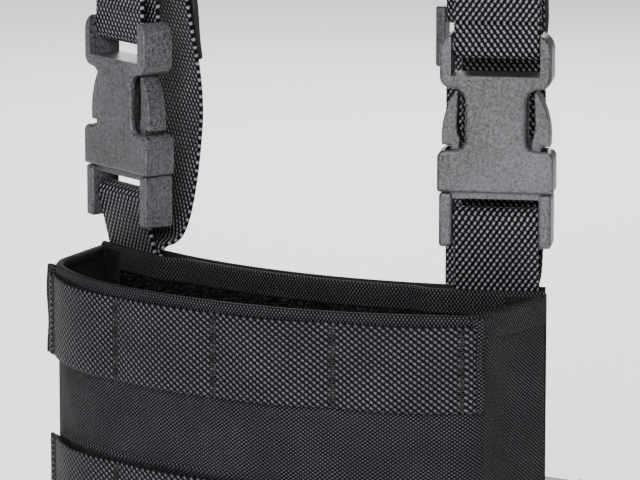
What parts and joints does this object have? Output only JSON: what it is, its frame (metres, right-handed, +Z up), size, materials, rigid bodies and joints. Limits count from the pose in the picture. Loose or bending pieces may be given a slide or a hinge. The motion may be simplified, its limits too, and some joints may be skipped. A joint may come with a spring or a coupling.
{
  "type": "chest harness vest",
  "caption": "Chest harness vest: curved front panel with an open pouch and webbing rows, padded shoulder straps and a waist belt, all closed by side-release buckles.",
  "frame": {"origin": "midway between the undersides of the two shoulder pads at the top of their curve", "axes": "+Z up, the wearer faces -Y, +X to the wearer's left"},
  "size_m": [0.32, 0.2828, 0.3859],
  "materials": {
    "strap_webbing": "woven nylon webbing, low sheen",
    "ladder_webbing": "woven nylon webbing sewn in rows",
    "pack_cloth": "basket-weave nylon pack cloth",
    "loop_pile": "brushed loop pile",
    "spacer_mesh": "knitted spacer mesh",
    "foam": "closed-cell foam sheet",
    "neoprene": "smooth-skinned rubber strip",
    "thread": "bonded nylon sewing thread",
    "buckle_acetal": "fine matt mould texture",
    "lock_acetal": "fine matt mould texture"
  },
  "bodies": {
    "root": {"back_shell": "pack_cloth", "belt_end": "strap_webbing", "belt_left": "strap_webbing", "belt_right": "strap_webbing", "body_mesh": "spacer_mesh", "corner_flange_left": "pack_cloth", "corner_flange_right": "pack_cloth", "cross_strap": "strap_webbing", "gusset_left": "pack_cloth", "gusset_right": "pack_cloth", "ladder_bartacks": "thread", "ladder_row_1": "ladder_webbing", "ladder_row_2": "ladder_webbing", "ladder_row_3": "ladder_webbing", "left_buckle_plug": "buckle_acetal", "left_buckle_run": "strap_webbing", "left_chafe_flap": "neoprene", "left_ladder_lock": "lock_acetal", "left_lock_tab": "strap_webbing", "left_lower_strap": "strap_webbing", "left_pad_mesh": "spacer_mesh", "left_rear_drop": "strap_webbing", "left_rear_lock": "lock_acetal", "left_rear_strap": "strap_webbing", "left_shoulder_pad": "pack_cloth", "left_shoulder_webbing": "strap_webbing", "left_strap_tail": "strap_webbing", "loop_lining": "loop_pile", "panel_foam": "foam", "pouch_floor": "pack_cloth", "pouch_front": "pack_cloth", "right_buckle_plug": "buckle_acetal", "right_buckle_run": "strap_webbing", "right_chafe_flap": "neoprene", "right_ladder_lock": "lock_acetal", "right_lock_tab": "strap_webbing", "right_lower_strap": "strap_webbing", "right_pad_mesh": "spacer_mesh", "right_rear_drop": "strap_webbing", "right_rear_lock": "lock_acetal", "right_rear_strap": "strap_webbing", "right_shoulder_pad": "pack_cloth", "right_shoulder_webbing": "strap_webbing", "right_strap_tail": "strap_webbing", "waist_buckle_plug": "buckle_acetal"},
    "left_housing": {"left_buckle_housing": "buckle_acetal"},
    "left_latch_a": {"left_buckle_latch_a": "buckle_acetal"},
    "left_latch_b": {"left_buckle_latch_b": "buckle_acetal"},
    "right_housing": {"right_buckle_housing": "buckle_acetal"},
    "right_latch_a": {"right_buckle_latch_a": "buckle_acetal"},
    "right_latch_b": {"right_buckle_latch_b": "buckle_acetal"},
    "waist_housing": {"waist_buckle_housing": "buckle_acetal"},
    "waist_latch_a": {"waist_buckle_latch_a": "buckle_acetal"},
    "waist_latch_b": {"waist_buckle_latch_b": "buckle_acetal"}
  },
  "joints": [
    {"name": "left_buckle_release", "type": "slide", "parent": "root", "child": "left_housing", "axis": [0, 0, 1], "range_m": [0, 0.031], "deforming": ["left_buckle_run", "left_buckle_latch_a", "left_buckle_latch_b"]},
    {"name": "left_latch_a_press", "type": "hinge", "parent": "root", "child": "left_latch_a", "pos_m": [0.0762, -0.10298, -0.1901], "axis": [0.3859, -0.9225, 0], "range_deg": [0, 8], "stiffness_Nm_per_rad": 0.5},
    {"name": "left_latch_b_press", "type": "hinge", "parent": "root", "child": "left_latch_b", "pos_m": [0.05443, -0.11209, -0.1901], "axis": [-0.3859, 0.9225, 0], "range_deg": [0, 8], "stiffness_Nm_per_rad": 0.5},
    {"name": "right_buckle_release", "type": "slide", "parent": "root", "child": "right_housing", "axis": [0, 0, 1], "range_m": [0, 0.031], "deforming": ["right_buckle_run", "right_buckle_latch_a", "right_buckle_latch_b"]},
    {"name": "right_latch_a_press", "type": "hinge", "parent": "root", "child": "right_latch_a", "pos_m": [-0.05443, -0.11209, -0.1951], "axis": [-0.3859, -0.9225, 0], "range_deg": [0, 8], "stiffness_Nm_per_rad": 0.5},
    {"name": "right_latch_b_press", "type": "hinge", "parent": "root", "child": "right_latch_b", "pos_m": [-0.0762, -0.10298, -0.1951], "axis": [0.3859, 0.9225, 0], "range_deg": [0, 8], "stiffness_Nm_per_rad": 0.5},
    {"name": "waist_buckle_release", "type": "slide", "parent": "root", "child": "waist_housing", "axis": [1, 0, 0], "range_m": [0, 0.031], "deforming": ["belt_end", "waist_buckle_latch_a", "waist_buckle_latch_b"]},
    {"name": "waist_latch_a_press", "type": "hinge", "parent": "root", "child": "waist_latch_a", "pos_m": [-0.0241, 0.11525, -0.3457], "axis": [0, 1, 0], "range_deg": [0, 8], "stiffness_Nm_per_rad": 0.5},
    {"name": "waist_latch_b_press", "type": "hinge", "parent": "root", "child": "waist_latch_b", "pos_m": [-0.0241, 0.11525, -0.3693], "axis": [0, -1, 0], "range_deg": [0, 8], "stiffness_Nm_per_rad": 0.5}
  ]
}
